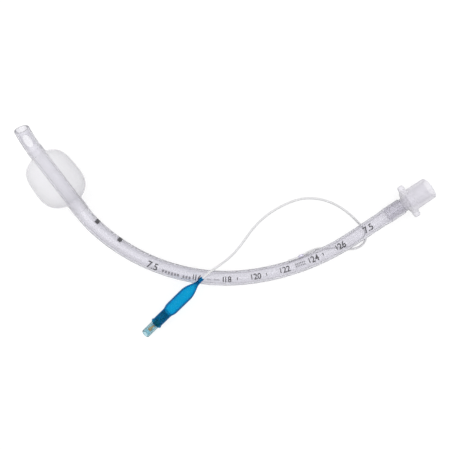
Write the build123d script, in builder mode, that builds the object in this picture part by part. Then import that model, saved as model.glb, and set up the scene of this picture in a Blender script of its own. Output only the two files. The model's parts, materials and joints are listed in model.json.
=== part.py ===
from build123d import *
import os
from math import asin, cos, pi, radians, sin, tan

# Cuffed endotracheal tube of 7.5 mm bore, lying as it comes to rest on a flat surface.
# Millimetres. X runs along its greatest length, and Z points up from the surface.
# It rests on the cuff, on the connector's flange and on the mouth of the pilot valve.

# Main tube: its section
tube_od = 10.0
tube_bore = 7.5
lumen_bore = 0.65
rim_round = 0.4

# Cuff, inflated, with the collars that bond it to the tube
cuff_length = 37.0
cuff_radius = 16.3
cuff_widest = 21.0
cuff_front = [(1.6, 9.6), (5.2, 13.6), (11.5, 15.6)]
cuff_back = [(9.2, 15.9), (4.6, 13.9), (1.4, 9.8)]
cuff_wall = 0.3
collar_wall = 0.3
collar_front = 5.6
collar_back = 8.6
bond_gap = 0.06

# Main tube: course of its axis from the tip to the machine end, flat in its own plane
tip_point = (-135.9, 53.03)
tip_heading = -62.6
tip_run = 6.4
tip_bend_radius = 68.0
tip_bend_angle = 8.9
seat_margin = 0.9
neck_bend_radius = 75.0
neck_bend_angle = 11.5
main_bend_radius = 127.0
main_bend_angle = 50.0
machine_bend_radius = 160.0
machine_bend_angle = 26.1
machine_run = 39.2

# Tip: slanted mouth, and the side eye in the opposite wall
bevel_angle = 58.0
bevel_roll = 18.0
eye_length = 9.2
eye_width = 5.6
eye_from_tip = 10.8
eye_round = 0.35

# Inflation passage in the wall, on the inner side of the curve
port_length = 3.0
port_width = 0.6
port_from_shoulder = 14.0
groove_start = 221.8
groove_length = 16.0
groove_lead = 0.6
groove_clearance = 0.1

# Connector with its 15 mm cone
nose_length = 11.4
nose_od = 8.3
nose_bore = 7.0
nose_round = 0.3
stretch_length = 3.4
stretch_gap = 0.05
stretched_wall = 1.2
hub_length = 5.0
hub_od = 9.4
flange_thickness = 3.0
flange_disc = 17.2
lug_span = 24.2
lug_width = 4.8
lug_blend = 1.5
flange_round = 1.1
cone_length = 14.1
cone_end_od = 15.0
cone_taper = 1 / 40
socket_bore = 11.2
socket_depth = 13.0
throat_length = 5.0
cone_round = 0.4

# Places and heights of the tube's axis over its supports as it lies
cuff_spot = (-111.95, 18.06)
cuff_lift = 0.54
flange_spot = (122.35, 3.76)
flange_lift = 0.02
crossing_spot = (74.45, -27.14)
crossing_gap = 0.3

# Inflation line, limp, and the glue bead where it leaves the tube. It first runs with the tube:
# distance past the groove's start, then inwards and up from the tube's axis. The rest lies free.
line_od = 1.5
line_bore = 0.7
bead_length = 5.0
bead_od = 2.7
bead_place = 9.0
line_leave = [
    (0.62, 4.99, 0.0),
    (4.86, 5.02, -0.03),
    (9.14, 5.03, -0.1),
    (14.58, 5.8, -0.9),
    (19.62, 5.58, -2.89),
    (24.61, 4.24, -4.58),
    (30.04, 1.84, -5.87),
]
line_route = [
    (75.9, -27.5, 0.76),
    (81.8, -28.8, 0.75),
    (87.6, -28.6, 0.75),
    (92.6, -26.0, 0.75),
    (95.2, -21.0, 0.75),
    (94.0, -15.8, 0.75),
    (89.9, -10.9, 0.75),
    (82.7, -3.7, 0.75),
    (73.0, 2.6, 0.75),
    (63.6, 5.6, 0.75),
    (55.0, 6.4, 0.75),
    (46.1, 4.9, 0.75),
    (35.1, 0.0, 0.75),
    (25.2, -6.5, 0.75),
    (17.3, -14.4, 0.75),
    (11.4, -22.7, 0.9),
    (5.6, -30.2, 3.2),
    (-0.4, -35.5, 7.8),
    (-6.6, -39.8, 12.2),
]
line_approach = 4.5
line_grip = 3.2

# Pilot balloon, sizes along its axis from the end of its neck to the lip of its sleeve
pilot_spot = (-16.82, -47.48)
pilot_heading = -135.3
neck_gap = 0.32
mouth_sink = 0.1
neck_od = 2.7
neck_length = 5.7
line_gap = 0.05
taper_end = 14.8
balloon_od = 9.0
balloon_end = 31.4
sleeve_start = 34.4
sleeve_end = 45.9
lip_length = 0.9
lip_height = 0.5
balloon_wall = 0.45
sleeve_wall = 0.55
balloon_round = 4.0
neck_round = 4.0
lip_round = 0.3

# Pilot valve, depths measured inwards from its mouth
valve_length = 22.0
valve_reach = 56.5
valve_od = 6.0
valve_gap = 0.05
valve_chamfer = 0.25
syringe_bore = 4.2
syringe_depth = 4.2
chamber_bore = 3.5
partition_depth = 9.0
partition_thickness = 1.2
valve_port = 1.8
seal_chamber = 4.9
plunger_depth = 4.1
head_od = 2.5
head_length = 0.8
head_taper = 2.3
stem_od = 1.4
seal_od = 3.8
seal_thickness = 1.35
cup_thickness = 0.7
peg_od = 2.4
peg_length = 0.8
spring_length = 6.1
spring_mean_od = 3.3
spring_wire = 0.4
spring_turns = 6
retainer_thickness = 2.0
retainer_bore = 1.8

os.makedirs("parts", exist_ok=True)


def arc_length(radius, angle):
    return radius * radians(angle)


def lengthwise(end_plane):
    """Drawing plane through an axis: X along the axis, Y straight up from it."""
    return Plane(origin=end_plane.origin, x_dir=end_plane.z_dir, z_dir=-end_plane.x_dir)


def corner_at(outline, along, across):
    """The corners of a drawn outline at one place."""
    return outline.vertices().filter_by(
        lambda corner: abs(corner.X - along) < 0.001 and abs(corner.Y - across) < 0.001
    )


# The plane that the tube lies in, through its axis over the three supports
cuff_support = Vector(*cuff_spot, cuff_radius + cuff_lift)
flange_support = Vector(*flange_spot, flange_disc / 2 + flange_lift)
crossing_support = Vector(*crossing_spot, tube_od / 2 + line_od + crossing_gap)
upright = (crossing_support - cuff_support).cross(flange_support - cuff_support).normalized()
lie = Plane(
    origin=(0, 0, cuff_support.dot(upright) / upright.Z),
    x_dir=(1, 0, -upright.X / upright.Z),
    z_dir=upright,
)

# Axis of the main tube
seat_run = 2 * seat_margin + collar_front + cuff_length + collar_back
with BuildLine(lie) as tube_axis:
    tip_line = PolarLine(tip_point, tip_run, tip_heading)
    tip_bend = JernArc(tip_line @ 1, tip_line % 1, tip_bend_radius, tip_bend_angle)
    seat_line = Line(tip_bend @ 1, tip_bend @ 1 + (tip_bend % 1) * seat_run)
    neck_bend = JernArc(seat_line @ 1, seat_line % 1, neck_bend_radius, neck_bend_angle)
    main_bend = JernArc(neck_bend @ 1, neck_bend % 1, main_bend_radius, main_bend_angle)
    last_bend = JernArc(main_bend @ 1, main_bend % 1, machine_bend_radius, machine_bend_angle)
    last_line = Line(last_bend @ 1, last_bend @ 1 + (last_bend % 1) * machine_run)
axis_wire = tube_axis.wire()
tube_length = axis_wire.length
seat_start = tip_run + arc_length(tip_bend_radius, tip_bend_angle)
collar_start = seat_start + seat_margin
cuff_start = collar_start + collar_front
cuff_end = cuff_start + cuff_length
collar_end = cuff_end + collar_back


def station(distance):
    """Plane across the tube: origin on its axis, X to the inner side of the curve, Y up."""
    along = axis_wire.tangent_at(distance, PositionMode.LENGTH)
    place = axis_wire.position_at(distance, PositionMode.LENGTH)
    return Plane(origin=place, x_dir=lie.z_dir.cross(along), z_dir=along)


# Axis of the pilot balloon: its neck rests on the tube, and the rim of its valve on the surface
crest_height = (lie.origin - Vector(*pilot_spot, 0)).dot(upright) / upright.Z + tube_od / 2
pilot_height = crest_height + neck_od / 2 + neck_gap
slope = asin((pilot_height - valve_od / 2 + mouth_sink) / valve_reach)
heading = radians(pilot_heading)
pilot_along = Vector(cos(slope) * cos(heading), cos(slope) * sin(heading), -sin(slope))
pilot_across = Vector(-sin(heading), cos(heading), 0)
pilot = Plane(origin=(*pilot_spot, pilot_height), x_dir=pilot_across, z_dir=pilot_along)
pilot_axis = Axis(pilot.origin, pilot.z_dir)

# Axis of the inflation line: each bend is as large as its two runs allow
route = [station(groove_start + on).from_local_coords(Vector(inwards, up, 0)) for on, inwards, up in line_leave]
route += [Vector(*point) for point in line_route]
route += [pilot.origin - pilot_along * line_approach, pilot.origin + pilot_along * line_grip]
runs = [b - a for a, b in zip(route, route[1:])]
line_radii = [
    0.45 * min(a.length, b.length) / tan(radians(a.get_angle(b)) / 2)
    for a, b in zip(runs, runs[1:])
]
with BuildLine() as line_axis:
    FilletPolyline(*route, radius=line_radii)
line_wire = line_axis.wire()
line_length = line_wire.length
print("inflation line: length", round(line_length, 1))
print("inflation line: bend radii", [round(radius, 1) for radius in line_radii])
print("inflation line: runs", [round(run.length, 1) for run in runs])
line_start = Plane(origin=line_wire @ 0, z_dir=line_wire % 0)
groove_axis = line_wire.trim(0, groove_length / line_length)
stretch_start = tube_length - nose_length - stretch_length
lumen_radius = (tube_od + tube_bore) / 4
lumen_start = cuff_start + port_from_shoulder
lumen_axis = axis_wire.trim(lumen_start / tube_length, (groove_start + groove_lead) / tube_length)
soft_axis = axis_wire.trim(0, stretch_start / tube_length)

# Main tube: one extrusion, cut to a slant at the tip and stretched over the nose
bevel_seat = station(tube_od / 2 / tan(radians(bevel_angle)))
bevel_up = bevel_seat.y_dir * cos(radians(bevel_roll)) + bevel_seat.x_dir * sin(radians(bevel_roll))
bevel_normal = bevel_up * cos(radians(bevel_angle)) - bevel_seat.z_dir * sin(radians(bevel_angle))
bevel_plane = Plane(origin=bevel_seat.origin, z_dir=bevel_normal)
eye_seat = station(eye_from_tip)
eye_down = -eye_seat.y_dir * cos(radians(bevel_roll)) - eye_seat.x_dir * sin(radians(bevel_roll))
eye_plane = Plane(origin=eye_seat.origin, x_dir=eye_seat.z_dir, z_dir=eye_down)
port_seat = station(lumen_start + port_length / 2)
port_plane = Plane(origin=port_seat.origin, x_dir=port_seat.z_dir, z_dir=port_seat.x_dir)
stretched_bore = nose_od + 2 * stretch_gap
stretched_od = stretched_bore + 2 * stretched_wall
with BuildPart() as tube:
    with BuildSketch(station(0)):
        Circle(tube_od / 2)
        Circle(tube_bore / 2, mode=Mode.SUBTRACT)
    sweep(path=soft_axis)
    split(bisect_by=bevel_plane, keep=Keep.BOTTOM)
    rim = tube.faces().filter_by(lambda face: abs(face.normal_at().dot(bevel_normal)) > 0.999)
    fillet(rim.edges(), rim_round)
    with BuildSketch(eye_plane):
        Ellipse(eye_length / 2, eye_width / 2)
    extrude(amount=tube_od, mode=Mode.SUBTRACT)
    eye_rim = tube.edges(Select.LAST).filter_by(
        lambda edge: abs(axis_wire.distance_to(Vertex(*(edge @ 0.5))) - tube_od / 2) < 0.01
    )
    fillet(eye_rim, eye_round)
    with BuildSketch(lengthwise(station(stretch_start))):
        with BuildLine():
            Polyline(
                (0, tube_bore / 2),
                (stretch_length, stretched_bore / 2),
                (stretch_length + nose_length, stretched_bore / 2),
                (stretch_length + nose_length, stretched_od / 2),
                (stretch_length, stretched_od / 2),
                (0, tube_od / 2),
                close=True,
            )
        make_face()
    revolve(axis=Axis(station(stretch_start).origin, station(stretch_start).z_dir))
    with BuildSketch(station(lumen_start)):
        with Locations((lumen_radius, 0)):
            Circle(lumen_bore / 2)
    sweep(path=lumen_axis, mode=Mode.SUBTRACT)
    with BuildSketch(port_plane.offset(lumen_radius)):
        SlotOverall(port_length, port_width)
    extrude(amount=tube_od / 2, mode=Mode.SUBTRACT)
    with BuildSketch(line_start):
        Circle(line_od / 2 + groove_clearance)
    sweep(path=groove_axis, mode=Mode.SUBTRACT)
    with BuildSketch(line_start):
        Circle(line_od / 2 + groove_clearance)
    extrude(amount=-groove_lead, mode=Mode.SUBTRACT)
tube.part.label = "tube"
export_step(tube.part, "parts/tube.step")


# Cuff: one thin moulding with a collar at each end
def barrel(wall_inset):
    """Half-outline of the inflated barrel, drawn from its front end along the axis."""
    length = cuff_length - 2 * wall_inset
    end_radius = tube_od / 2 + bond_gap + collar_wall - wall_inset
    widest = cuff_widest * length / cuff_length
    front = [(along, radius - wall_inset) for along, radius in cuff_front]
    back = [(length - before, radius - wall_inset) for before, radius in cuff_back]
    with BuildSketch(lengthwise(station(cuff_start + wall_inset))) as outline:
        with BuildLine():
            Spline((0, end_radius), *front, (widest, cuff_radius - wall_inset), *back, (length, end_radius))
            Polyline((length, end_radius), (length, 0), (0, 0), (0, end_radius))
        make_face()
    return outline.sketch


seat_axis = Axis(station(seat_start).origin, station(seat_start).z_dir)
with BuildPart() as cuff:
    revolve(barrel(0), axis=seat_axis)
    with BuildSketch(station(collar_start)):
        Circle(tube_od / 2 + bond_gap + collar_wall)
    extrude(amount=collar_end - collar_start)
    revolve(barrel(cuff_wall), axis=seat_axis, mode=Mode.SUBTRACT)
    with BuildSketch(station(collar_start)):
        Circle(tube_od / 2 + bond_gap)
    extrude(amount=collar_end - collar_start, mode=Mode.SUBTRACT)
cuff.part.label = "cuff"
export_step(cuff.part, "parts/cuff.step")

# Connector: one moulding with a nose, a flange with two lugs, and a cone
cone_start = hub_length + flange_thickness
connector_end = cone_start + cone_length
cone_base_od = cone_end_od + cone_length * cone_taper
machine_end = station(tube_length)
machine_axis = Axis(machine_end.origin, machine_end.z_dir)
throat_start = connector_end - socket_depth - throat_length
with BuildPart() as connector:
    with BuildSketch(machine_end.offset(hub_length)) as flange_outline:
        Circle(flange_disc / 2)
        SlotOverall(lug_span, lug_width)
        corners = flange_outline.vertices().group_by(lambda corner: Vector(*corner).length)[0]
        fillet(corners, lug_blend)
    extrude(amount=flange_thickness)
    fillet(connector.faces().filter_by(machine_axis).edges(), flange_round)
    with BuildSketch(lengthwise(machine_end)) as body_outline:
        with BuildLine():
            Polyline(
                (-nose_length, 0),
                (-nose_length, nose_od / 2),
                (0, nose_od / 2),
                (0, hub_od / 2),
                (hub_length + flange_thickness / 2, hub_od / 2),
                (hub_length + flange_thickness / 2, cone_base_od / 2),
                (cone_start, cone_base_od / 2),
                (connector_end, cone_end_od / 2),
                (connector_end, 0),
                close=True,
            )
        make_face()
        fillet(corner_at(body_outline, connector_end, cone_end_od / 2), cone_round)
        fillet(corner_at(body_outline, -nose_length, nose_od / 2), nose_round)
    revolve(axis=machine_axis)
    with BuildSketch(lengthwise(machine_end)):
        with BuildLine():
            Polyline(
                (-nose_length, 0),
                (-nose_length, nose_bore / 2),
                (throat_start, nose_bore / 2),
                (throat_start + throat_length, socket_bore / 2),
                (connector_end, socket_bore / 2),
                (connector_end, 0),
                close=True,
            )
        make_face()
    revolve(axis=machine_axis, mode=Mode.SUBTRACT)
connector.part.label = "connector"
export_step(connector.part, "parts/connector.step")

# Inflation line
with BuildPart() as inflation_line:
    with BuildSketch(line_start):
        Circle(line_od / 2)
        Circle(line_bore / 2, mode=Mode.SUBTRACT)
    sweep(path=line_wire)
inflation_line.part.label = "inflation_line"
export_step(inflation_line.part, "parts/inflation_line.step")
line_section = pi * (line_od**2 - line_bore**2) / 4
print("inflation line: volume", inflation_line.part.volume, "section by length", line_section * line_length)

# Glue bead over the line where it leaves the groove
bead_seat = Plane(
    origin=line_wire.position_at(bead_place, PositionMode.LENGTH),
    z_dir=line_wire.tangent_at(bead_place, PositionMode.LENGTH),
)
with BuildPart() as bond_bead:
    with BuildSketch(lengthwise(bead_seat)):
        Ellipse(bead_length / 2, bead_od / 2)
        Rectangle(bead_length, bead_od, align=(Align.CENTER, Align.MAX), mode=Mode.SUBTRACT)
    revolve(axis=Axis(bead_seat.origin, bead_seat.z_dir))
    with BuildSketch(station(groove_start + bead_place)):
        Circle(tube_od / 2 + bond_gap)
    extrude(amount=bead_length, both=True, mode=Mode.SUBTRACT)
    with BuildSketch(line_start):
        Circle(line_od / 2 + bond_gap / 2)
    sweep(path=groove_axis, mode=Mode.SUBTRACT)
bond_bead.part.label = "bond_bead"
export_step(bond_bead.part, "parts/bond_bead.step")

# Pilot balloon: one blow moulding with a neck, a balloon and a sleeve
sleeve_bore = valve_od + 2 * valve_gap
sleeve_od = sleeve_bore + 2 * sleeve_wall
with BuildPart() as pilot_balloon:
    with BuildSketch(lengthwise(pilot)) as balloon_outline:
        with BuildLine():
            Polyline(
                (0, line_od / 2 + line_gap),
                (0, neck_od / 2),
                (neck_length, neck_od / 2),
                (taper_end, balloon_od / 2),
                (balloon_end, balloon_od / 2),
                (sleeve_start, sleeve_od / 2),
                (sleeve_end - lip_length, sleeve_od / 2),
                (sleeve_end - lip_length, sleeve_od / 2 + lip_height),
                (sleeve_end, sleeve_od / 2 + lip_height),
                (sleeve_end, sleeve_bore / 2),
                (sleeve_start, sleeve_bore / 2),
                (balloon_end, balloon_od / 2 - balloon_wall),
                (taper_end, balloon_od / 2 - balloon_wall),
                (neck_length, line_od / 2 + line_gap),
                close=True,
            )
        make_face()
        for along in (taper_end, balloon_end):
            fillet(corner_at(balloon_outline, along, balloon_od / 2), balloon_round)
            fillet(corner_at(balloon_outline, along, balloon_od / 2 - balloon_wall), balloon_round - balloon_wall)
        fillet(corner_at(balloon_outline, neck_length, neck_od / 2), neck_round)
        fillet(corner_at(balloon_outline, sleeve_end, sleeve_od / 2 + lip_height), lip_round)
        fillet(corner_at(balloon_outline, sleeve_end - lip_length, sleeve_od / 2 + lip_height), lip_round)
    revolve(axis=pilot_axis)
pilot_balloon.part.label = "pilot_balloon"
export_step(pilot_balloon.part, "parts/pilot_balloon.step")

# Pilot valve: housing
mouth = Plane(
    origin=pilot.origin + pilot_along * valve_reach, x_dir=-pilot_across, z_dir=-pilot_along
)
valve_axis = Axis(mouth.origin, mouth.z_dir)
with BuildPart() as valve_housing:
    with BuildSketch(lengthwise(mouth)):
        with BuildLine():
            Polyline(
                (0, syringe_bore / 2),
                (0, valve_od / 2 - valve_chamfer),
                (valve_chamfer, valve_od / 2),
                (valve_length, valve_od / 2),
                (valve_length, seal_chamber / 2),
                (partition_depth + partition_thickness, seal_chamber / 2),
                (partition_depth + partition_thickness, valve_port / 2),
                (partition_depth, valve_port / 2),
                (partition_depth, chamber_bore / 2),
                (syringe_depth, chamber_bore / 2),
                (syringe_depth, syringe_bore / 2),
                close=True,
            )
        make_face()
    revolve(axis=valve_axis)
valve_housing.part.label = "valve_housing"
export_step(valve_housing.part, "parts/valve_housing.step")

# Pilot valve: plunger with its head, stem, spring cup and peg
seal_start = partition_depth + partition_thickness + valve_gap
cup_start = seal_start + seal_thickness + valve_gap
cup_end = cup_start + cup_thickness
taper_start = plunger_depth + head_length
with BuildPart() as valve_plunger:
    with BuildSketch(lengthwise(mouth)):
        with BuildLine():
            Polyline(
                (plunger_depth, 0),
                (plunger_depth, head_od / 2),
                (taper_start, head_od / 2),
                (taper_start + head_taper, stem_od / 2),
                (cup_start, stem_od / 2),
                (cup_start, seal_od / 2),
                (cup_end, seal_od / 2),
                (cup_end, peg_od / 2),
                (cup_end + peg_length, peg_od / 2),
                (cup_end + peg_length, 0),
                close=True,
            )
        make_face()
    revolve(axis=valve_axis)
valve_plunger.part.label = "valve_plunger"
export_step(valve_plunger.part, "parts/valve_plunger.step")

# Pilot valve: seal ring between the partition and the spring cup
with BuildPart() as valve_seal:
    with BuildSketch(mouth.offset(seal_start)):
        Circle(seal_od / 2)
        Circle(stem_od / 2 + valve_gap, mode=Mode.SUBTRACT)
    extrude(amount=seal_thickness)
valve_seal.part.label = "valve_seal"
export_step(valve_seal.part, "parts/valve_seal.step")

# Pilot valve: spring
spring_start = mouth.offset(cup_end + valve_gap + spring_wire / 2)
spring_rise = spring_length - spring_wire
with BuildPart() as valve_spring:
    with BuildLine() as coil:
        Helix(
            spring_rise / spring_turns,
            spring_rise,
            spring_mean_od / 2,
            center=spring_start.origin,
            direction=spring_start.z_dir,
        )
    with BuildSketch(Plane(origin=coil.line @ 0, z_dir=coil.line % 0)):
        Circle(spring_wire / 2)
    sweep(path=coil.line, is_frenet=True)
valve_spring.part.label = "valve_spring"
export_step(valve_spring.part, "parts/valve_spring.step")

# Pilot valve: retainer behind the spring
retainer_start = cup_end + 2 * valve_gap + spring_length
with BuildPart() as valve_retainer:
    with BuildSketch(mouth.offset(retainer_start)):
        Circle(seal_chamber / 2 - valve_gap)
        Circle(retainer_bore / 2, mode=Mode.SUBTRACT)
    extrude(amount=retainer_thickness)
valve_retainer.part.label = "valve_retainer"
export_step(valve_retainer.part, "parts/valve_retainer.step")
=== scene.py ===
import bpy
import json
import math
from mathutils import Matrix, Vector

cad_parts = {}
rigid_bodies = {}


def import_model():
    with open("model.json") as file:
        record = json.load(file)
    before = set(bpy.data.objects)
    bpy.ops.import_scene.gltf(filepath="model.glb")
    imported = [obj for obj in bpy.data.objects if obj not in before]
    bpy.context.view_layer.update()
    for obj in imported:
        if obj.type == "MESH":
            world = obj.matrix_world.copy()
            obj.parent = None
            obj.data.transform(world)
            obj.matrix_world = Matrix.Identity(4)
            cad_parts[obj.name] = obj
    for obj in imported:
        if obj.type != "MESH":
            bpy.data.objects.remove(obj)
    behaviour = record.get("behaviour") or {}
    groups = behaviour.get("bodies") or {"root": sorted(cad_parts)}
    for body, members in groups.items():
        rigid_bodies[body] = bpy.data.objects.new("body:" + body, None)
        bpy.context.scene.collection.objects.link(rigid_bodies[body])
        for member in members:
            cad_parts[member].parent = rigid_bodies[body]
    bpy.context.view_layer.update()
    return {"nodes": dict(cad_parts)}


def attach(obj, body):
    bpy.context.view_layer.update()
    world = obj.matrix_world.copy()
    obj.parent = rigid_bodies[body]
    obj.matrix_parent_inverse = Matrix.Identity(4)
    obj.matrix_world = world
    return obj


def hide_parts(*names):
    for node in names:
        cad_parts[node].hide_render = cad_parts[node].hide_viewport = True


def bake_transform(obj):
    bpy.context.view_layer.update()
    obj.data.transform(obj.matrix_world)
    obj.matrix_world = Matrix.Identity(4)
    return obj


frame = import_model()

bl_info = {
    "name": "Airway tube",
    "version": (1, 0, 0),
    "blender": (4, 5, 0),
    "location": "View3D > Sidebar > Airway tube",
    "description": "Dresses a cuffed airway tube: clear plastics, printing, inflation line and stage",
    "category": "Object",
}

MM = 0.001
ROOT = "tube_set"

# Sizes below are in millimetres and turns in degrees

# Vertices nearer than these are one: along a rolled seam, and in a spun or copied shape
SEAM_GAP = 0.0001
MERGE_GAP = 0.001

# Turns between faces up to which a surface is shaded smooth
TUBE_CREASE = 40
FILM_CREASE = 50
MOULDED_CREASE = 35

# Main tube: its section, and how finely it is divided round and along
TUBE_OD = 10.0
TUBE_WALL = 1.25
TUBE_LENGTH = 307.93
TUBE_SIDES = 64
TUBE_RINGS = 240

# Slanted mouth: its angle to the axis and its turn round it, and the block that cuts it
BEVEL_ANGLE = 58.0
BEVEL_ROLL = 18.0
SLANT_BLOCK = 40.0

# Side eye opposite the mouth: its oval, and how far its plug reaches each way
EYE_FROM_TIP = 10.8
EYE_LENGTH = 9.2
EYE_WIDTH = 5.6
EYE_REACH = 3.0
EYE_SIDES = 40

# Rounded edges of the mouth and the eye
RIM_ROUND = 0.35
RIM_SEGMENTS = 3
RIM_SHARP = 30

# Inflation passage inside the wall, and the groove where the line lies in it
PASSAGE_BORE = 0.65
PASSAGE_START = 37.5
PASSAGE_SIDES = 10
PASSAGE_RINGS = 150
GROOVE_START = 221.8
GROOVE_END = 237.8
GROOVE_BORE = 1.7
GROOVE_SIDES = 24
GROOVE_RINGS = 12

# Depth of colour: clearest between the cuff's ends, darkest in a band of painted shade along the
# passage on the tube's inner side, and a share of that colour in the rest of the tube
CUFFED = (17.0, 70.0)
TIP_FADE = 2.0
BAND_RISE = 14.0
BAND_REACH = 44.0
BAND_FADE = 18.0
BODY_SHARE = 0.5

# End that is drawn wider over the connector's nose
STRETCH_START = 293.13
STRETCH_LENGTH = 3.4
STRETCH_GROWTH = 0.4

# Axis from the tip, as runs with their length and bends with their radius and turn
AXIS_PLAN = [
    ("run", 6.4),
    ("bend", 68.0, 8.9),
    ("run", 53.0),
    ("bend", 75.0, 11.5),
    ("bend", 127.0, 50.0),
    ("bend", 160.0, 26.1),
    ("run", 39.2),
]
TIP_POINT = (-135.9, 53.03)
TIP_HEADING = -62.6
# Points of the axis over the tube's three supports, which give the plane that it lies in
SUPPORTS = [(-111.95, 18.06, 16.84), (74.45, -27.14, 6.8), (122.35, 3.76, 8.62)]

# Cuff film: distance from the tip and radius of its outline, from collar to collar
CUFF_OUTLINE = [
    (17.86, 5.36),
    (18.3, 5.36),
    (22.6, 5.36),
    (23.3, 5.5),
    (24.8, 10.0),
    (28.2, 14.0),
    (34.3, 15.8),
    (44.2, 16.45),
    (51.0, 15.95),
    (55.6, 13.8),
    (58.9, 9.8),
    (60.6, 5.5),
    (61.3, 5.36),
    (68.6, 5.36),
    (69.06, 5.36),
]
# The film leans this far off the axis where it is widest
CUFF_LEAN = -0.7
CUFF_WALL = 0.3
CUFF_SIDES = 48
FILM_LEVELS = 2

# Connector's flange: the stretch past the tube's end that holds it, its far face, which stays,
# the radius that it starts from, and how many times thicker it gets
FLANGE_RUN = (4.9, 8.1)
FLANGE_BACK = 8.0
FLANGE_INSIDE = 4.6
FLANGE_GROWTH = 1.35

# Pilot balloon: the end of its neck, its direction, and distance and radius of its outline
PILOT_ORIGIN = (-16.82, -47.48, 13.986)
PILOT_ALONG = (-0.696983, -0.689722, -0.19621)
BALLOON_OUTLINE = [
    (0.0, 1.35),
    (0.2, 1.35),
    (4.6, 1.35),
    (6.0, 1.6),
    (9.3, 2.95),
    (12.6, 4.15),
    (15.2, 4.6),
    (18.0, 4.6),
    (29.0, 4.6),
    (31.4, 4.55),
    (33.4, 3.8),
    (34.6, 3.6),
    (36.0, 3.6),
    (44.5, 3.6),
    (44.9, 3.65),
    (45.1, 4.15),
    (45.7, 4.15),
    (45.9, 3.7),
]
BALLOON_WALL = 0.45
BALLOON_SIDES = 32

# Denser film, as distances from the neck's end: full in the neck, a share of it in the sleeve
GATHERED_END = 9.0
GATHERED_FADE = 4.0
SLEEVE_START = 33.4
SLEEVE_FADE = 1.2
SLEEVE_SHARE = 0.35

# Creases in the film: turn round it in radians, start and end of each, and their depth, with
# their width in radians
FOLDS = [(2.2, 5.5, 12.5), (-1.1, 6.0, 11.0)]
FOLD_DEPTH = 0.3
FOLD_WIDTH = 0.28

# Route of the inflation line, from the wall of the tube to the neck of the balloon, its length,
# and how finely it is divided along and round
LINE_ROUTE = [
    (40.9, -36.5, 6.8),
    (44.8, -35.2, 6.79),
    (48.7, -33.8, 6.75),
    (53.3, -31.1, 6.09),
    (57.8, -29.19, 4.16),
    (62.7, -28.19, 2.42),
    (68.5, -27.79, 1.0),
    (75.9, -27.5, 0.76),
    (81.8, -28.8, 0.75),
    (87.6, -28.6, 0.75),
    (92.6, -26.0, 0.75),
    (95.2, -21.0, 0.75),
    (94.0, -15.8, 0.75),
    (89.9, -10.9, 0.75),
    (82.7, -3.7, 0.75),
    (73.0, 2.6, 0.75),
    (63.6, 5.6, 0.75),
    (55.0, 6.4, 0.75),
    (46.1, 4.9, 0.75),
    (35.1, 0.0, 0.75),
    (25.2, -6.5, 0.75),
    (17.3, -14.4, 0.75),
    (11.4, -22.7, 0.9),
    (5.6, -30.2, 3.2),
    (-0.4, -35.5, 7.8),
    (-6.6, -39.8, 12.2),
    (-13.68, -44.38, 14.87),
    (-19.05, -49.69, 13.36),
]
LINE_STEPS = 12
LINE_ROUND = 8

# Printed numbers: text, distance from the tip to its left edge, turn from the top, height
NUMBERS = [
    ("7.5", 124.4, -7.0, 5.0),
    ("16", 157.4, -3.0, 4.1),
    ("18", 177.4, 1.0, 4.1),
    ("20", 196.6, 7.0, 4.1),
    ("22", 216.6, 12.0, 4.1),
    ("24", 236.9, 17.0, 4.4),
    ("26", 257.0, 15.0, 4.5),
    ("7.5", 277.3, 13.0, 4.5),
]
# Short lines of the depth scale: distance, turn, length round the tube and width
TICKS = [
    (156.1, -2.0, 3.4, 0.65),
    (176.1, 1.5, 3.4, 0.75),
    (185.5, 5.0, 2.0, 0.5),
    (195.2, 7.5, 3.4, 0.6),
    (205.4, 9.0, 2.0, 0.5),
    (215.1, 13.0, 3.4, 0.65),
    (235.6, 18.5, 3.4, 0.65),
    (245.8, 20.0, 2.0, 0.6),
    (255.8, 17.5, 3.4, 0.65),
]
# Rows of small plain blocks: distance of the first, turn, how many, their spacing and height
ROWS = [
    (135.0, -14.0, 6, 2.05, 1.9),
    (149.0, -15.0, 3, 2.05, 1.9),
    (165.4, -6.0, 3, 0.95, 0.8),
    (170.0, -4.0, 4, 0.95, 0.8),
    (225.7, 25.0, 6, 1.2, 1.1),
    (225.7, 7.0, 6, 1.2, 1.1),
]
# How much of its spacing a block fills
BLOCK_SHARE = 0.62

# Depth bars: distances from the tip, width along the tube, and turns where they start and end
BARS = [80.8, 100.4]
BAR_WIDTH = 2.8
BAR_TURN = (35, 145)

# Digits: their weight, roundness and narrowness, and the strips that let them roll up
TEXT_WEIGHT = 0.016
TEXT_CURVE = 6
TEXT_NARROW = 0.92
TEXT_STRIPS = 13

# Ink: how finely a patch is divided along and round the tube, its lift, thickness and paler kind
PATCH_ALONG = 8
PATCH_ROUND = 24
INK_LIFT = 0.02
INK_THICKNESS = 0.02
PALE_INK = 3.0

# Attribute for the film's density and the tube's painted shade on its inner side, and how far a
# surface turns before it takes the painted shade of its edge
DENSITY_AND_SHADE = "density_and_shade"
RIM_STARTS = 0.3
RIM_FULL = 0.9

# Stage, in metres and watts: the camera's place over the surface, how near and far it sees and
# its sensor in millimetres, the surface and its glow, the sky where it lights and where it is
# seen, and name, place, size and power of each lamp
CAMERA_PLAN = (-1.95 * MM, -12.24 * MM)
CAMERA_SEES = (0.01, 20)
SENSOR_WIDTH = 36
FLOOR_SIZE = 6.0
FLOOR_DROP = 0.0002
FLOOR_GREY = 0.25
FLOOR_GLOW = 0.78
SKY_LIGHT = 0.6
SKY_SEEN = 1.0
LAMPS = [
    ("key_light", (-0.5, 0.7, 1.3), 3.0, 24.0),
    ("fill_light", (0.8, -0.6, 1.3), 3.0, 12.0),
]


# The tube's axis

low, middle, high = [Vector(place) for place in SUPPORTS]
UP = (middle - low).cross(high - low).normalized()
LIE_ORIGIN = Vector((0, 0, low.dot(UP) / UP.z))
LIE_X = Vector((1, 0, -UP.x / UP.z)).normalized()
LIE_Y = UP.cross(LIE_X)


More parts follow.
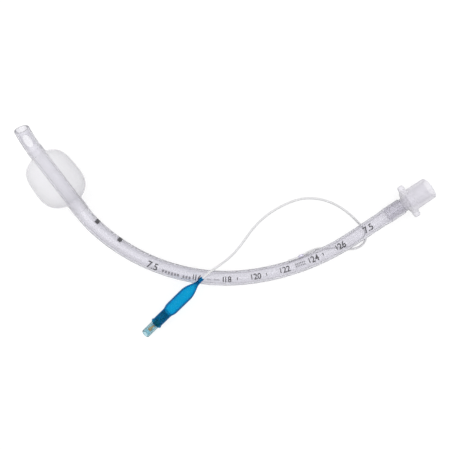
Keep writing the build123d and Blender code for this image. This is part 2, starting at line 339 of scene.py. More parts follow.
def tube_place(distance):
    """The axis at one distance from the tip: its point, and its directions along and inwards."""
    x, y = TIP_POINT
    heading = math.radians(TIP_HEADING)
    left = distance
    for kind, size, *turn in AXIS_PLAN:
        length = size if kind == "run" else size * math.radians(turn[0])
        step = min(left, length)
        if kind == "run":
            x += step * math.cos(heading)
            y += step * math.sin(heading)
        else:
            x -= size * math.sin(heading)
            y += size * math.cos(heading)
            heading += step / size
            x += size * math.sin(heading)
            y -= size * math.cos(heading)
        left -= step
        if step < length:
            break
    # Past the last run the axis goes on straight
    x += left * math.cos(heading)
    y += left * math.sin(heading)
    along = LIE_X * math.cos(heading) + LIE_Y * math.sin(heading)
    return LIE_ORIGIN + LIE_X * x + LIE_Y * y, along, UP.cross(along)


def bend_onto_tube(piece):
    """Takes a piece modelled on a straight tube along X, with Y inwards, to the lying tube."""
    places = {}
    for vertex in piece.data.vertices:
        distance, inwards, upwards = vertex.co / MM
        # The vertices of one ring share their place on the axis
        key = round(distance, 3)
        if key not in places:
            places[key] = tube_place(distance)
        origin, along, inward = places[key]
        vertex.co = (origin + inward * inwards + UP * upwards) * MM
    piece.data.update()
    return piece


def wrap_round_tube(piece, turn):
    """Rolls a flat piece, with X along the tube and Y across, onto the straight tube's outside."""
    radius = TUBE_OD / 2 + INK_LIFT
    for vertex in piece.data.vertices:
        angle = math.radians(turn) + vertex.co.y / MM / (TUBE_OD / 2)
        vertex.co = (vertex.co.x, radius * math.sin(angle) * MM, radius * math.cos(angle) * MM)
    piece.data.update()
    return piece


# What every piece uses


def clamp(share):
    """Keeps a share between 0 and 1."""
    return min(max(share, 0), 1)


def ease(share):
    """Softens the start and the end of a share that runs from 0 to 1."""
    return share * share * (3 - 2 * share)


def deselect_all():
    """Back to object mode with nothing selected, as every step needs."""
    if bpy.context.object and bpy.context.object.mode != "OBJECT":
        bpy.ops.object.mode_set(mode="OBJECT")
    bpy.ops.object.select_all(action="DESELECT")


def choose(piece):
    """Makes the piece the only one selected, and the active one."""
    deselect_all()
    piece.select_set(True)
    bpy.context.view_layer.objects.active = piece
    return piece


def settle(piece):
    """Leaves the piece's place in its mesh and its object at the origin."""
    choose(piece)
    bpy.ops.object.transform_apply(location=True, rotation=True, scale=True)
    return piece


def apply_modifier(piece, kind, **values):
    """Adds one modifier with its values and applies it."""
    choose(piece)
    modifier = piece.modifiers.new(kind.lower(), kind)
    for name, value in values.items():
        setattr(modifier, name, value)
    bpy.ops.object.modifier_apply(modifier=modifier.name)
    return piece


def remove(piece):
    bpy.data.objects.remove(piece, do_unlink=True)


def join(pieces, name):
    """Makes the pieces one mesh."""
    choose(pieces[0])
    for piece in pieces:
        piece.select_set(True)
    bpy.ops.object.join()
    bpy.context.object.name = name
    return bpy.context.object


def smooth(piece, crease):
    """Shades the piece smooth, but for edges that turn by more than the crease."""
    choose(piece)
    bpy.ops.object.shade_smooth_by_angle(angle=math.radians(crease))
    return piece


def outward(piece):
    """Turns every face of a closed shape outwards."""
    choose(piece)
    bpy.ops.object.mode_set(mode="EDIT")
    bpy.ops.mesh.select_all(action="SELECT")
    bpy.ops.mesh.normals_make_consistent(inside=False)
    bpy.ops.object.mode_set(mode="OBJECT")
    return piece


def merge_close(piece, gap):
    """Makes vertices that lie within the gap one."""
    choose(piece)
    bpy.ops.object.mode_set(mode="EDIT")
    bpy.ops.mesh.select_all(action="SELECT")
    bpy.ops.mesh.remove_doubles(threshold=gap * MM)
    bpy.ops.object.mode_set(mode="OBJECT")
    return piece


def straight_shell(name, radius, start, end, sides, rings):
    """Open tube along X: a grid rolled up and joined along its seam."""
    deselect_all()
    bpy.ops.mesh.primitive_grid_add(x_subdivisions=rings, y_subdivisions=sides, size=1)
    shell = bpy.context.object
    shell.name = name
    for vertex in shell.data.vertices:
        distance = start + (vertex.co.x + 0.5) * (end - start)
        turn = (vertex.co.y + 0.5) * 2 * math.pi
        across = Vector((math.cos(turn), math.sin(turn))) * radius
        vertex.co = Vector((distance, across.x, across.y)) * MM
    return outward(merge_close(shell, SEAM_GAP))


def turned_film(name, outline, sides, wall):
    """Film of one wall thickness, spun round X from distances and radii."""
    deselect_all()
    bpy.ops.mesh.primitive_plane_add(size=MM)
    film = bpy.context.object
    film.name = name
    bpy.ops.object.mode_set(mode="EDIT")
    bpy.ops.mesh.select_all(action="SELECT")
    bpy.ops.mesh.merge(type="CENTER")
    here = Vector(outline[0])
    bpy.ops.transform.translate(value=(here.x * MM, here.y * MM, 0))
    for place in outline[1:]:
        step = Vector(place) - here
        here = Vector(place)
        move = {"value": (step.x * MM, step.y * MM, 0)}
        bpy.ops.mesh.extrude_region_move(TRANSFORM_OT_translate=move)
    bpy.ops.mesh.select_all(action="SELECT")
    bpy.ops.mesh.spin(steps=sides, angle=2 * math.pi, center=(0, 0, 0), axis=(1, 0, 0))
    bpy.ops.mesh.select_all(action="SELECT")
    bpy.ops.mesh.remove_doubles(threshold=MERGE_GAP * MM)
    bpy.ops.mesh.normals_make_consistent(inside=False)
    bpy.ops.object.mode_set(mode="OBJECT")
    apply_modifier(film, "SUBSURF", levels=FILM_LEVELS, render_levels=FILM_LEVELS)
    apply_modifier(film, "SOLIDIFY", thickness=wall * MM, offset=-1)
    return film


def dress(material, *nodes):
    """Gives CAD nodes, whose shapes stay, their finish."""
    for node in nodes:
        piece = frame["nodes"][node]
        piece.data.materials.clear()
        piece.data.materials.append(material)


def merged_copy(node, name):
    """A CAD node's shape as one joined mesh of its own, to be reshaped."""
    choose(frame["nodes"][node])
    bpy.ops.object.duplicate()
    bpy.ops.object.parent_clear(type="CLEAR_KEEP_TRANSFORM")
    piece = bpy.context.object
    piece.name = name
    return merge_close(piece, MERGE_GAP)


def mark_density_and_shade(piece, share):
    """Writes the film's density, and on the tube the painted shade of its inner side, at each vertex,
    from 0 to 1.
    """
    attribute = piece.data.attributes.new(DENSITY_AND_SHADE, "FLOAT", "POINT")
    for vertex in piece.data.vertices:
        attribute.data[vertex.index].value = share(vertex.co / MM)
    return piece


def place_piece(piece, material, nodes=(), body=ROOT):
    """Gives a new piece its finish, the nodes that it replaces and its body."""
    piece.data.materials.clear()
    piece.data.materials.append(material)
    if nodes:
        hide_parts(*nodes)
    if body:
        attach(piece, body)
    return piece


# Materials


def new_material(name):
    """Empty node material, with its tree and its output."""
    material = bpy.data.materials.new(name)
    material.use_nodes = True
    tree = material.node_tree
    tree.nodes.clear()
    output = tree.nodes.new("ShaderNodeOutputMaterial")
    return material, tree, output


def noise(tree, scale, detail, roughness=0.5):
    """Cloudy texture that stays with the piece."""
    place = tree.nodes.new("ShaderNodeTexCoord")
    texture = tree.nodes.new("ShaderNodeTexNoise")
    texture.inputs["Scale"].default_value = scale
    texture.inputs["Detail"].default_value = detail
    texture.inputs["Roughness"].default_value = roughness
    tree.links.new(place.outputs["Object"], texture.inputs["Vector"])
    return texture


def bump_from(tree, texture, strength, distance):
    """Fine unevenness of the surface, as deep as the distance at full strength."""
    bump = tree.nodes.new("ShaderNodeBump")
    bump.inputs["Strength"].default_value = strength
    bump.inputs["Distance"].default_value = distance * MM
    tree.links.new(texture.outputs["Fac"], bump.inputs["Height"])
    return bump


def wander(tree, texture, colour, darker, lighter):
    """A colour that wanders a little from place to place."""
    ramp = tree.nodes.new("ShaderNodeValToRGB")
    ramp.color_ramp.elements[0].color = (*[c * darker for c in colour], 1)
    ramp.color_ramp.elements[1].color = (*[min(c * lighter, 1) for c in colour], 1)
    tree.links.new(texture.outputs["Fac"], ramp.inputs["Fac"])
    return ramp.outputs["Color"]


def spread(tree, value, least, most):
    """Takes a value from 0 to 1 to the range between two values."""
    node = tree.nodes.new("ShaderNodeMapRange")
    node.inputs["To Min"].default_value = least
    node.inputs["To Max"].default_value = most
    tree.links.new(value, node.inputs["Value"])
    return node


def blend_shaders(tree, amount, first, second):
    """The second shader over the first, by the amount."""
    mix = tree.nodes.new("ShaderNodeMixShader")
    tree.links.new(amount, mix.inputs["Fac"])
    tree.links.new(first, mix.inputs[1])
    tree.links.new(second, mix.inputs[2])
    return mix.outputs["Shader"]


def clear_plastic(
    name, colour, roughness, ior, milk, edge, edge_share=0.6,
    absorbed=None, density=0.0, density_and_shade_colour=None,
):
    """Clear plastic that refracts, takes a painted darker shade towards its edges and lights what is
    inside it.
    """
    material, tree, output = new_material(name)
    texture = noise(tree, scale=90.0, detail=3.0)
    clear = tree.nodes.new("ShaderNodeBsdfPrincipled")
    clear.inputs["IOR"].default_value = ior
    clear.inputs["Transmission Weight"].default_value = 1.0 - milk
    gloss = spread(tree, texture.outputs["Fac"], least=roughness * 0.7, most=roughness * 1.3)
    tree.links.new(gloss.outputs["Result"], clear.inputs["Roughness"])
    tint = wander(tree, texture, colour, darker=0.97, lighter=1.03)
    # Denser film takes this colour by the attribute, and so does the painted shade along the tube's
    # inner side
    if density_and_shade_colour:
        density_and_shade = tree.nodes.new("ShaderNodeAttribute")
        density_and_shade.attribute_name = DENSITY_AND_SHADE
        blend = tree.nodes.new("ShaderNodeMix")
        blend.data_type = "RGBA"
        blend.inputs["B"].default_value = (*density_and_shade_colour, 1)
        tree.links.new(tint, blend.inputs["A"])
        tree.links.new(density_and_shade.outputs["Fac"], blend.inputs["Factor"])
        tint = blend.outputs["Result"]
    tree.links.new(tint, clear.inputs["Base Color"])
    # Painted shade: a darker matt surface where the plastic turns from view stands in for the shade
    # along its sides, and in tinted films also for their longer path through the wall
    rim = tree.nodes.new("ShaderNodeBsdfPrincipled")
    rim.inputs["Roughness"].default_value = 0.5
    rim.inputs["Specular IOR Level"].default_value = 0.1
    painted_edge_shade = wander(tree, texture, edge, darker=0.93, lighter=1.07)
    tree.links.new(painted_edge_shade, rim.inputs["Base Color"])
    facing = tree.nodes.new("ShaderNodeLayerWeight")
    rim_share = spread(tree, facing.outputs["Facing"], least=0.0, most=edge_share)
    rim_share.inputs["From Min"].default_value = RIM_STARTS
    rim_share.inputs["From Max"].default_value = RIM_FULL
    edged = blend_shaders(
        tree, rim_share.outputs["Result"], clear.outputs["BSDF"], rim.outputs["BSDF"]
    )
    # Light crosses two faces of a wall, so its colour at each is the tint's square root
    lit_through = tree.nodes.new("ShaderNodeBsdfTransparent")
    lit_through.inputs["Color"].default_value = (*[math.sqrt(c) for c in colour], 1)
    rays = tree.nodes.new("ShaderNodeLightPath")
    surface = blend_shaders(
        tree, rays.outputs["Is Shadow Ray"], edged, lit_through.outputs["BSDF"]
    )
    tree.links.new(surface, output.inputs["Surface"])
    if density:
        inside = tree.nodes.new("ShaderNodeVolumeAbsorption")
        inside.inputs["Color"].default_value = (*absorbed, 1)
        inside.inputs["Density"].default_value = density
        tree.links.new(inside.outputs["Volume"], output.inputs["Volume"])
    return material


def tinted_film(name, tint, milk_colour, least, most, roughness):
    """Thin wall that tints the light it lets through, with a milky sheen at its edges."""
    material, tree, output = new_material(name)
    through = tree.nodes.new("ShaderNodeBsdfTransparent")
    through.inputs["Color"].default_value = (*tint, 1)
    milky = tree.nodes.new("ShaderNodeBsdfPrincipled")
    milky.inputs["Roughness"].default_value = roughness
    milky.inputs["IOR"].default_value = 1.4
    clouds = noise(tree, scale=60.0, detail=3.0)
    cloudy = wander(tree, clouds, milk_colour, darker=0.92, lighter=1.08)
    tree.links.new(cloudy, milky.inputs["Base Color"])
    waves = noise(tree, scale=35.0, detail=2.0)
    bump = bump_from(tree, waves, strength=0.08, distance=2.0)
    tree.links.new(bump.outputs["Normal"], milky.inputs["Normal"])
    sheen = tree.nodes.new("ShaderNodeLayerWeight")
    sheen.inputs["Blend"].default_value = 0.35
    amount = spread(tree, sheen.outputs["Facing"], least, most)
    surface = blend_shaders(
        tree, amount.outputs["Result"], through.outputs["BSDF"], milky.outputs["BSDF"]
    )
    tree.links.new(surface, output.inputs["Surface"])
    return material


def moulded(name, colour, roughness, metallic):
    """Opaque moulded or drawn material with slight unevenness in colour and surface."""
    material, tree, output = new_material(name)
    solid = tree.nodes.new("ShaderNodeBsdfPrincipled")
    solid.inputs["Roughness"].default_value = roughness
    solid.inputs["Metallic"].default_value = metallic
    texture = noise(tree, scale=700.0, detail=3.0)
    tint = wander(tree, texture, colour, darker=0.85, lighter=1.15)
    tree.links.new(tint, solid.inputs["Base Color"])
    bump = bump_from(tree, texture, strength=0.1, distance=0.1)
    tree.links.new(bump.outputs["Normal"], solid.inputs["Normal"])
    tree.links.new(solid.outputs["BSDF"], output.inputs["Surface"])
    return material


def ink(name, colour):
    """Matt ink that lies a little unevenly."""
    material, tree, output = new_material(name)
    matt = tree.nodes.new("ShaderNodeBsdfPrincipled")
    matt.inputs["Roughness"].default_value = 0.45
    texture = noise(tree, scale=900.0, detail=4.0, roughness=0.7)
    tint = wander(tree, texture, colour, darker=0.8, lighter=1.35)
    tree.links.new(tint, matt.inputs["Base Color"])
    tree.links.new(matt.outputs["BSDF"], output.inputs["Surface"])
    return material


# Sizes and colours that a user would change


class AIRWAY_PG_settings(bpy.types.PropertyGroup):
    """Sizes and colours of the airway tube and its stage"""

    line_diameter: bpy.props.FloatProperty(
        name="Line diameter",
        description="Outside diameter of the inflation line",
        default=1.5 * MM,
        unit="LENGTH",
        precision=4,
    )
    tube_absorbs: bpy.props.FloatVectorProperty(
        name="Tube cast",
        description="Colour that the wall of the clear tube gives to light going through it",
        default=(0.3, 0.28, 0.42),
        subtype="COLOR",
        min=0,
        max=1,
    )
    tube_density: bpy.props.FloatProperty(
        name="Tube depth of colour",
        description="How strongly the tube's wall colours light, per metre",
        default=70.0,
    )
    tube_colour: bpy.props.FloatVectorProperty(
        name="Tube colour",
        description="Tint of the clear tube's surface",
        default=(0.9, 0.895, 0.92),
        subtype="COLOR",
        min=0,
        max=1,
    )
    # Painted shade: the darker colour of the tube's inner side along the passage
    painted_shade_colour: bpy.props.FloatVectorProperty(
        name="Passage side colour",
        description="Tint of the tube's wall along the inflation passage",
        default=(0.79, 0.782, 0.815),
        subtype="COLOR",
        min=0,
        max=1,
    )
    ink_colour: bpy.props.FloatVectorProperty(
        name="Ink colour",
        description="Dark grey of the printing",
        default=(0.06, 0.058, 0.065),
        subtype="COLOR",
        min=0,
        max=1,
    )
    balloon_colour: bpy.props.FloatVectorProperty(
        name="Pilot balloon colour",
        description="Tint of the pilot balloon's surface",
        default=(0.1, 0.77, 0.87),
        subtype="COLOR",
        min=0,
        max=1,
    )
    balloon_density: bpy.props.FloatProperty(
        name="Balloon depth of colour",
        description="How strongly the balloon's film colours light, per metre",
        default=2000.0,
    )
    camera_height: bpy.props.FloatProperty(
        name="Camera height",
        description="Height of the camera over the surface",
        default=385 * MM,
        unit="LENGTH",
    )
    lens: bpy.props.FloatProperty(
        name="Lens",
        description="Focal length of the camera in millimetres on a 36 mm sensor",
        default=44.8,
        min=10,
        max=200,
    )


# Pieces


class AIRWAY_OT_stage(bpy.types.Operator):
    """White surface, soft light and a camera straight above"""

    bl_idname = "airway.stage"
    bl_label = "Stage"

    def execute(self, context):
        settings = context.scene.airway
        camera_data = bpy.data.cameras.new("camera")
        camera = bpy.data.objects.new("camera", camera_data)
        context.scene.collection.objects.link(camera)
        camera.location = (*CAMERA_PLAN, settings.camera_height)
        camera_data.sensor_width = SENSOR_WIDTH
        camera_data.lens = settings.lens
        camera_data.clip_start, camera_data.clip_end = CAMERA_SEES
        context.scene.camera = camera

        deselect_all()
        bpy.ops.mesh.primitive_plane_add(size=FLOOR_SIZE, location=(0, 0, -FLOOR_DROP))
        floor = settle(context.object)
        floor.name = "floor"
        material, tree, output = new_material("white_surface")
        matt = tree.nodes.new("ShaderNodeBsdfDiffuse")
        matt.inputs["Color"].default_value = (FLOOR_GREY, FLOOR_GREY, FLOOR_GREY, 1)
        glow = tree.nodes.new("ShaderNodeEmission")
        strength = tree.nodes.new("ShaderNodeMath")
        strength.operation = "MULTIPLY"
        strength.inputs[1].default_value = FLOOR_GLOW
        tree.links.new(self.seen_rays(tree), strength.inputs[0])
        tree.links.new(strength.outputs["Value"], glow.inputs["Strength"])
        both = tree.nodes.new("ShaderNodeAddShader")
        tree.links.new(matt.outputs["BSDF"], both.inputs[0])
        tree.links.new(glow.outputs["Emission"], both.inputs[1])
        tree.links.new(both.outputs["Shader"], output.inputs["Surface"])
        floor.data.materials.append(material)

        world = bpy.data.worlds.new("studio")
        context.scene.world = world
        world.use_nodes = True
        tree = world.node_tree
        tree.nodes.clear()
        output = tree.nodes.new("ShaderNodeOutputWorld")
        background = tree.nodes.new("ShaderNodeBackground")
        background.inputs["Color"].default_value = (1, 1, 1, 1)
        strength = spread(tree, self.seen_rays(tree), least=SKY_LIGHT, most=SKY_SEEN)
        tree.links.new(strength.outputs["Result"], background.inputs["Strength"])
        tree.links.new(background.outputs["Background"], output.inputs["Surface"])

        for name, place, size, power in LAMPS:
            lamp_data = bpy.data.lights.new(name, "AREA")
            lamp_data.size = size
            lamp_data.energy = power
            lamp = bpy.data.objects.new(name, lamp_data)
            context.scene.collection.objects.link(lamp)
            lamp.location = place
            lamp.rotation_mode = "QUATERNION"
            lamp.rotation_quaternion = (-Vector(place)).to_track_quat("-Z", "Y")
        context.scene.view_settings.view_transform = "Standard"
        return {"FINISHED"}

    @staticmethod
    def seen_rays(tree):
        """1 for the rays that the camera, gloss and clear plastics see the backdrop by."""
        path = tree.nodes.new("ShaderNodeLightPath")
        first = tree.nodes.new("ShaderNodeMath")
        first.operation = "MAXIMUM"
        second = tree.nodes.new("ShaderNodeMath")
        second.operation = "MAXIMUM"
        tree.links.new(path.outputs["Is Camera Ray"], first.inputs[0])
        tree.links.new(path.outputs["Is Glossy Ray"], first.inputs[1])
        tree.links.new(first.outputs["Value"], second.inputs[0])
        tree.links.new(path.outputs["Is Transmission Ray"], second.inputs[1])
        return second.outputs["Value"]


class AIRWAY_OT_inflation_line(bpy.types.Operator):
    """Thin clear line from the wall of the tube to the pilot balloon"""

    bl_idname = "airway.inflation_line"
    bl_label = "Inflation line"

    def execute(self, context):
        settings = context.scene.airway
        curve = bpy.data.curves.new("clear_line", "CURVE")
        curve.dimensions = "3D"
        spline = curve.splines.new("NURBS")
        spline.points.add(len(LINE_ROUTE) - 1)
        for point, place in zip(spline.points, LINE_ROUTE):
            point.co = (*[v * MM for v in place], 1)
        spline.order_u = 3
        spline.use_endpoint_u = True
        spline.resolution_u = LINE_STEPS
        curve.bevel_depth = settings.line_diameter / 2
        curve.bevel_resolution = LINE_ROUND
        curve.use_fill_caps = True
        line = bpy.data.objects.new("clear_line", curve)
        context.scene.collection.objects.link(line)
        # The edge colour is painted shade along the line's sides
        finish = clear_plastic(
            "line_plastic", (0.76, 0.757, 0.77), roughness=0.3, ior=1.3, milk=0.85,
            edge=(0.7, 0.7, 0.71),
        )
        place_piece(line, finish, ["inflation_line"])
        return {"FINISHED"}


class AIRWAY_OT_tube(bpy.types.Operator):
    """Clear main tube with its slanted mouth, side eye, passage and groove for the line"""

    bl_idname = "airway.tube"
    bl_label = "Main tube"

    def execute(self, context):
        settings = context.scene.airway
        tube = straight_shell("clear_tube", TUBE_OD / 2, 0.0, TUBE_LENGTH, TUBE_SIDES, TUBE_RINGS)
        apply_modifier(tube, "SOLIDIFY", thickness=TUBE_WALL * MM, offset=-1)
        self.stretch(tube)
        self.cut(tube, join([self.slant(), self.eye(), self.groove()], "openings"))
        self.cut(tube, self.passage())
        self.round_rims(tube)
        mark_density_and_shade(tube, self.depth_and_painted_shade)
        smooth(bend_onto_tube(tube), TUBE_CREASE)
        # The edge colour is painted shade along the tube's sides
        clear = clear_plastic(
            "tube_plastic", tuple(settings.tube_colour), roughness=0.06, ior=1.5, milk=0.06,
            edge=(0.5, 0.49, 0.53), absorbed=tuple(settings.tube_absorbs),
            density=settings.tube_density, density_and_shade_colour=tuple(settings.painted_shade_colour),
        )
        place_piece(tube, clear, ["tube"])
        # The edge colour is painted shade along the glue's sides
        glue = clear_plastic(
            "glue", (0.84, 0.82, 0.92), roughness=0.12, ior=1.45, milk=0.35, edge=(0.6, 0.59, 0.66),
        )
        dress(glue, "bond_bead")
        return {"FINISHED"}

    @staticmethod
    def depth_and_painted_shade(place):
        """Clearest inside the cuff, and darkest in painted shade on the inner side, over the wall that
        holds the inflation passage.
        """
        start, end = CUFFED
        tip = clamp((start - place.x) / TIP_FADE)
        body = clamp((place.x - end) / BAND_RISE)
        turn = math.degrees(math.acos(place.y / math.hypot(place.y, place.z)))
        band = ease(clamp((BAND_REACH - turn) / BAND_FADE)) * body
        return max(tip, body) * BODY_SHARE + band * (1 - BODY_SHARE)

    @staticmethod
    def stretch(tube):
        """The soft end is drawn wider over the connector's nose."""
        for vertex in tube.data.vertices:
            share = clamp((vertex.co.x / MM - STRETCH_START) / STRETCH_LENGTH)
            growth = STRETCH_GROWTH * ease(share)
            radius = math.hypot(vertex.co.y, vertex.co.z) / MM
            vertex.co.y *= 1 + growth / radius
            vertex.co.z *= 1 + growth / radius

    @staticmethod
    def slant():
        """Block with one face along the slanted mouth."""
        lean = math.pi / 2 - math.radians(BEVEL_ANGLE)
        middle = (-SLANT_BLOCK / 2 * MM, 0, 0)
        deselect_all()
        bpy.ops.mesh.primitive_cube_add(size=SLANT_BLOCK * MM, location=middle)
        cutter = settle(bpy.context.object)
        seat = TUBE_OD / 2 * math.tan(lean)
        turn = Matrix.Rotation(-math.radians(BEVEL_ROLL), 4, "X") @ Matrix.Rotation(lean, 4, "Y")
        cutter.matrix_world = Matrix.Translation((seat * MM, 0, 0)) @ turn
        return settle(cutter)

    @staticmethod
    def eye():
        """Oval plug through the wall opposite the slanted mouth."""
        roll = math.radians(BEVEL_ROLL)
        deselect_all()
        bpy.ops.mesh.primitive_cylinder_add(
            vertices=EYE_SIDES, radius=0.5 * MM, depth=2 * EYE_REACH * MM,
        )
        plug = bpy.context.object
        plug.scale = (EYE_LENGTH, EYE_WIDTH, 1)
        settle(plug)
        turn = Matrix.Rotation(-roll, 4, "X")
        drop = turn @ Vector((EYE_FROM_TIP * MM, 0, -TUBE_OD / 2 * MM))
        plug.matrix_world = Matrix.Translation(drop) @ turn
        return settle(plug)

    @staticmethod
    def groove():
        """Round plug for the notch where the line lies in the wall."""
        plug = straight_shell(
            "groove", GROOVE_BORE / 2, GROOVE_START, GROOVE_END, GROOVE_SIDES, GROOVE_RINGS,
        )
        return AIRWAY_OT_tube.close(plug, TUBE_OD / 2)

    @staticmethod
    def passage():
        """Thin plug along the middle of the wall, from inside the cuff to the groove."""
        end = GROOVE_START + GROOVE_BORE / 4
        plug = straight_shell(
            "passage", PASSAGE_BORE / 2, PASSAGE_START, end, PASSAGE_SIDES, PASSAGE_RINGS,
        )
        return AIRWAY_OT_tube.close(plug, (TUBE_OD - TUBE_WALL) / 2)

    @staticmethod
    def close(plug, inwards):
        """Closes the ends of a plug, and sets it off towards the inside of the curve."""
        choose(plug)
        bpy.ops.object.mode_set(mode="EDIT")
        bpy.ops.mesh.select_all(action="SELECT")
        bpy.ops.mesh.fill_holes(sides=0)
        bpy.ops.object.mode_set(mode="OBJECT")
        for vertex in plug.data.vertices:
            vertex.co.y += inwards * MM
        return outward(plug)

    @staticmethod
    def cut(tube, plug):
        """Takes the plug's shape out of the tube."""
        apply_modifier(tube, "BOOLEAN", object=plug, operation="DIFFERENCE", solver="EXACT")
        remove(plug)

    @staticmethod
    def round_rims(tube):
        """Rounds the sharp edges of the mouth and of the eye."""
        last = (EYE_FROM_TIP + EYE_LENGTH) * MM
        mesh = tube.data
        faces = {}
        for face in mesh.polygons:
            for key in face.edge_keys:
                faces.setdefault(key, []).append(face.normal)
        for face in mesh.polygons:
            face.select = False
        for vertex in mesh.vertices:
            vertex.select = False
        sharp = math.cos(math.radians(RIM_SHARP))
        for edge in mesh.edges:
            pair = faces.get(edge.key, [])
            near = all(mesh.vertices[i].co.x < last for i in edge.vertices)
            edge.select = near and len(pair) == 2 and pair[0].dot(pair[1]) < sharp
        choose(tube)
        bpy.context.tool_settings.mesh_select_mode = (False, True, False)
        bpy.ops.object.mode_set(mode="EDIT")
        bpy.ops.mesh.bevel(offset=RIM_ROUND * MM, segments=RIM_SEGMENTS, clamp_overlap=True)
        bpy.ops.object.mode_set(mode="OBJECT")
        bpy.context.tool_settings.mesh_select_mode = (True, False, False)


class AIRWAY_OT_cuff(bpy.types.Operator):
    """Inflated film with its two collars, leaning a little off the tube's centre"""

    bl_idname = "airway.cuff"
    bl_label = "Cuff"

    def execute(self, context):
        cuff = turned_film("inflated_cuff", CUFF_OUTLINE, CUFF_SIDES, CUFF_WALL)
        widest = max(radius for distance, radius in CUFF_OUTLINE)
        rest = CUFF_OUTLINE[0][1]
        for vertex in cuff.data.vertices:
            radius = math.hypot(vertex.co.y, vertex.co.z) / MM
            vertex.co.y += CUFF_LEAN * clamp((radius - rest) / (widest - rest)) * MM
        smooth(bend_onto_tube(cuff), FILM_CREASE)
        finish = tinted_film(
            "cuff_film", tint=(0.985, 0.983, 0.99), milk_colour=(0.965, 0.955, 0.99),
            least=0.13, most=0.32, roughness=0.4,
        )
        place_piece(cuff, finish, ["cuff"])
        return {"FINISHED"}


class AIRWAY_OT_pilot_balloon(bpy.types.Operator):
    """Blue film balloon, with its neck round the line and its sleeve round the valve"""

    bl_idname = "airway.pilot_balloon"
    bl_label = "Pilot balloon"

    def execute(self, context):
        settings = context.scene.airway
        balloon = turned_film("blue_balloon", BALLOON_OUTLINE, BALLOON_SIDES, BALLOON_WALL)
        mark_density_and_shade(balloon, self.gathered)
        self.fold(balloon)
        along = Vector(PILOT_ALONG).normalized()
        side = along.cross(Vector((0, 0, 1))).normalized()
        turn = Matrix((along, side, along.cross(side))).transposed()
        balloon.matrix_world = Matrix.Translation(Vector(PILOT_ORIGIN) * MM) @ turn.to_4x4()
        smooth(settle(balloon), FILM_CREASE)
        # The edge colour is painted shade along the balloon's outline, also standing for the longer
        # path through its film
        finish = clear_plastic(
            "balloon_plastic", tuple(settings.balloon_colour), roughness=0.25, ior=1.1,
            milk=0.02, edge=(0.01, 0.15, 0.34), edge_share=1.0,
            absorbed=(0.0, 0.69, 0.88), density=settings.balloon_density,
            density_and_shade_colour=(0.05, 0.43, 0.58),
        )
        place_piece(balloon, finish, ["pilot_balloon"])
        return {"FINISHED"}

    @staticmethod
    def gathered(place):
        """The film is thickest in the neck, fades over the folds, and is thick again in the sleeve."""
        neck = clamp((GATHERED_END - place.x) / GATHERED_FADE)
        sleeve = clamp((place.x - SLEEVE_START) / SLEEVE_FADE)
        return max(neck, SLEEVE_SHARE * sleeve)

    @staticmethod
    def fold(balloon):
        """Shallow creases where the film is gathered into the neck."""
        for vertex in balloon.data.vertices:
            around = math.atan2(vertex.co.z, vertex.co.y)
            for turn, start, end in FOLDS:
                place = (vertex.co.x / MM - start) / (end - start)
                if not 0 < place < 1:
                    continue
                away = math.remainder(around - turn, 2 * math.pi)
                across = math.exp(-(away / FOLD_WIDTH) ** 2)
                depth = FOLD_DEPTH * math.sin(math.pi * place) * across
                radius = math.hypot(vertex.co.y, vertex.co.z)
                share = 1 - depth * MM / radius
                vertex.co.y *= share
                vertex.co.z *= share
        balloon.data.update()


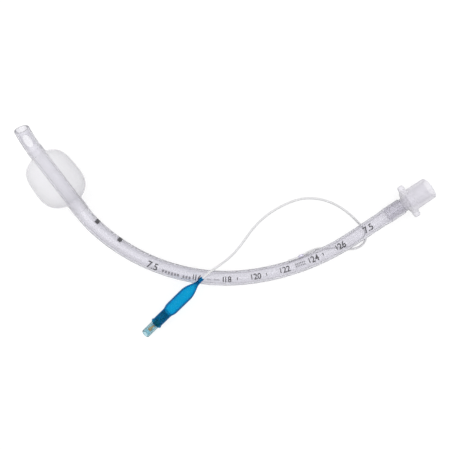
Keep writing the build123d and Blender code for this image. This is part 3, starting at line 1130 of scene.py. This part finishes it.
class AIRWAY_OT_print(bpy.types.Operator):
    """Numbers, depth scale, rows of small blocks and depth bars printed on the tube"""

    bl_idname = "airway.print"
    bl_label = "Printing"

    def execute(self, context):
        settings = context.scene.airway
        dark = ink("print_ink", tuple(settings.ink_colour))
        pale = ink("pale_print_ink", tuple(min(c * PALE_INK, 1) for c in settings.ink_colour))
        numbers = [self.number(*row) for row in NUMBERS]
        self.lay(numbers, "print_numbers", dark)
        ticks = [
            self.patch(distance - width / 2, distance + width / 2, turn, length)
            for distance, turn, length, width in TICKS
        ]
        self.lay(ticks, "print_scale", dark)
        blocks = [
            self.patch(distance + i * pitch, distance + (i + BLOCK_SHARE) * pitch, turn, height)
            for distance, turn, count, pitch, height in ROWS
            for i in range(count)
        ]
        self.lay(blocks, "print_blocks", pale)
        start, end = BAR_TURN
        across = math.radians(end - start) * TUBE_OD / 2
        bars = [
            self.patch(distance - BAR_WIDTH / 2, distance + BAR_WIDTH / 2, (start + end) / 2, across)
            for distance in BARS
        ]
        self.lay(bars, "depth_bars", dark)
        return {"FINISHED"}

    @staticmethod
    def number(text, distance, turn, height):
        """Digits of one height, made a mesh in strips and rolled onto the tube."""
        deselect_all()
        bpy.ops.object.text_add(location=(0, 0, 0))
        piece = bpy.context.object
        piece.data.body = text
        piece.data.size = 1.0
        piece.data.offset = TEXT_WEIGHT
        piece.data.resolution_u = TEXT_CURVE
        bpy.ops.object.convert(target="MESH")
        piece = bpy.context.object
        heights = [v.co.y for v in piece.data.vertices]
        starts = min(v.co.x for v in piece.data.vertices)
        scale = height * MM / (max(heights) - min(heights))
        middle = (max(heights) + min(heights)) / 2
        for vertex in piece.data.vertices:
            vertex.co.x = (vertex.co.x - starts) * scale * TEXT_NARROW + distance * MM
            vertex.co.y = (vertex.co.y - middle) * scale
        bpy.ops.object.mode_set(mode="EDIT")
        half = TEXT_STRIPS // 2
        for step in range(-half, half + 1):
            level = step * height / TEXT_STRIPS * MM
            bpy.ops.mesh.select_all(action="SELECT")
            bpy.ops.mesh.bisect(plane_co=(0, level, 0), plane_no=(0, 1, 0))
        bpy.ops.object.mode_set(mode="OBJECT")
        return wrap_round_tube(piece, turn)

    @staticmethod
    def patch(start, end, turn, across):
        """Plain patch between two distances from the tip, rolled onto the tube."""
        deselect_all()
        bpy.ops.mesh.primitive_grid_add(
            x_subdivisions=PATCH_ALONG, y_subdivisions=PATCH_ROUND, size=1,
        )
        piece = bpy.context.object
        for vertex in piece.data.vertices:
            vertex.co.x = ((start + end) / 2 + vertex.co.x * (end - start)) * MM
            vertex.co.y *= across * MM
        return wrap_round_tube(piece, turn)

    @staticmethod
    def lay(pieces, name, material):
        """Joins pieces of print, bends them with the tube and gives the ink its thickness."""
        piece = bend_onto_tube(join(pieces, name))
        apply_modifier(piece, "SOLIDIFY", thickness=INK_THICKNESS * MM, offset=1)
        place_piece(piece, material)


class AIRWAY_OT_connector(bpy.types.Operator):
    """Frosted moulding with its nose, its full flange with two lugs, and its cone"""

    bl_idname = "airway.connector"
    bl_label = "Connector"

    def execute(self, context):
        frosted = tinted_film(
            "connector_plastic", tint=(0.96, 0.955, 0.975), milk_colour=(0.84, 0.825, 0.87),
            least=0.34, most=0.7, roughness=0.35,
        )
        moulding = merged_copy("connector", "frosted_connector")
        end, along = tube_place(TUBE_LENGTH)[:2]
        for vertex in moulding.data.vertices:
            offset = vertex.co / MM - end
            distance = offset.dot(along)
            on_flange = FLANGE_RUN[0] < distance < FLANGE_RUN[1]
            if on_flange and (offset - along * distance).length > FLANGE_INSIDE:
                move = (distance - FLANGE_BACK) * (FLANGE_GROWTH - 1)
                vertex.co += along * move * MM
        smooth(moulding, MOULDED_CREASE)
        place_piece(moulding, frosted, ["connector"])
        return {"FINISHED"}


class AIRWAY_OT_pilot_valve(bpy.types.Operator):
    """Pale blue housing and retainer, amber plunger, black seal, and a coil spring"""

    bl_idname = "airway.pilot_valve"
    bl_label = "Pilot valve"

    def execute(self, context):
        # The edge colour is painted shade along the housing's sides
        housing = clear_plastic(
            "valve_plastic", (0.48, 0.69, 0.75), roughness=0.02, ior=1.15, milk=0.06,
            edge=(0.1, 0.22, 0.25), edge_share=0.9,
        )
        dress(housing, "valve_housing", "valve_retainer")
        amber = moulded("amber_plastic", (0.95, 0.27, 0.025), roughness=0.35, metallic=0.0)
        dress(amber, "valve_plunger")
        rubber = moulded("black_rubber", (0.012, 0.012, 0.013), roughness=0.6, metallic=0.0)
        dress(rubber, "valve_seal")
        wire = moulded("spring_wire", (0.5, 0.5, 0.51), roughness=0.25, metallic=1.0)
        spring = smooth(merged_copy("valve_spring", "coil_spring"), MOULDED_CREASE)
        place_piece(spring, wire, ["valve_spring"], body=None)
        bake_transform(spring)
        return {"FINISHED"}


class AIRWAY_PT_panel(bpy.types.Panel):
    """Settings and pieces of the airway tube"""

    bl_idname = "AIRWAY_PT_panel"
    bl_label = "Airway tube"
    bl_space_type = "VIEW_3D"
    bl_region_type = "UI"
    bl_category = "Airway tube"

    def draw(self, context):
        settings = context.scene.airway
        for name in AIRWAY_PG_settings.__annotations__:
            self.layout.prop(settings, name)
        for operator in PIECES:
            self.layout.operator(operator.bl_idname)


PIECES = (
    AIRWAY_OT_stage,
    AIRWAY_OT_pilot_balloon,
    AIRWAY_OT_pilot_valve,
    AIRWAY_OT_inflation_line,
    AIRWAY_OT_tube,
    AIRWAY_OT_print,
    AIRWAY_OT_cuff,
    AIRWAY_OT_connector,
)
CLASSES = (AIRWAY_PG_settings, *PIECES, AIRWAY_PT_panel)


def register():
    for item in CLASSES:
        bpy.utils.register_class(item)
    bpy.types.Scene.airway = bpy.props.PointerProperty(type=AIRWAY_PG_settings)


def unregister():
    del bpy.types.Scene.airway
    for item in reversed(CLASSES):
        bpy.utils.unregister_class(item)


def main():
    """Makes every piece in order."""
    register()
    bpy.ops.airway.stage()
    bpy.ops.airway.pilot_balloon()
    bpy.ops.airway.pilot_valve()
    bpy.ops.airway.inflation_line()
    bpy.ops.airway.tube()
    bpy.ops.airway.print()
    bpy.ops.airway.cuff()
    bpy.ops.airway.connector()


if __name__ == "__main__":
    main()
